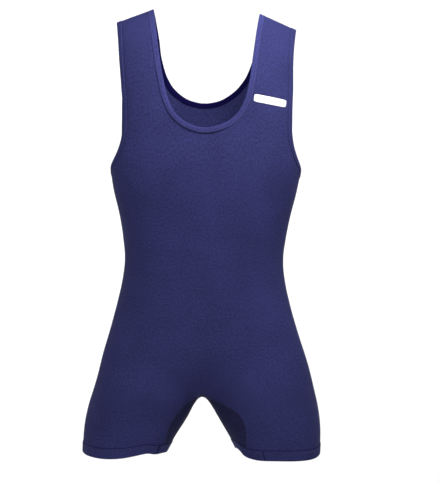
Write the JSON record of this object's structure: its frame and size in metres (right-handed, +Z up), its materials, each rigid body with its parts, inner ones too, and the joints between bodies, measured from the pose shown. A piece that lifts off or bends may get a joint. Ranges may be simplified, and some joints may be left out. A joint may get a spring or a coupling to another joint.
{
  "type": "squat suit",
  "caption": "Sleeveless one-piece suit with deep scooped neck and armholes, thigh-length legs, bound edges and a crotch gusset.",
  "frame": {"origin": "midway between the tops of the two straps, where the shoulders carry the suit", "axes": "+Z up, -Y the front of the suit, +X towards the wearer's left"},
  "size_m": [0.4064, 0.2178, 0.7485],
  "materials": {
    "knitted_polyester_navy": "close knit with a soft sheen",
    "binding_knit_navy": "folded knit binding",
    "gusset_knit_navy": "matte close knit",
    "label_white": "plain woven patch"
  },
  "bodies": {
    "root": {"front_panel": "knitted_polyester_navy", "back_panel": "knitted_polyester_navy", "crotch_gusset": "gusset_knit_navy", "neck_binding": "binding_knit_navy", "armhole_binding_left": "binding_knit_navy", "armhole_binding_right": "binding_knit_navy", "leg_band_left": "binding_knit_navy", "leg_band_right": "binding_knit_navy", "chest_label": "label_white"}
  },
  "joints": []
}
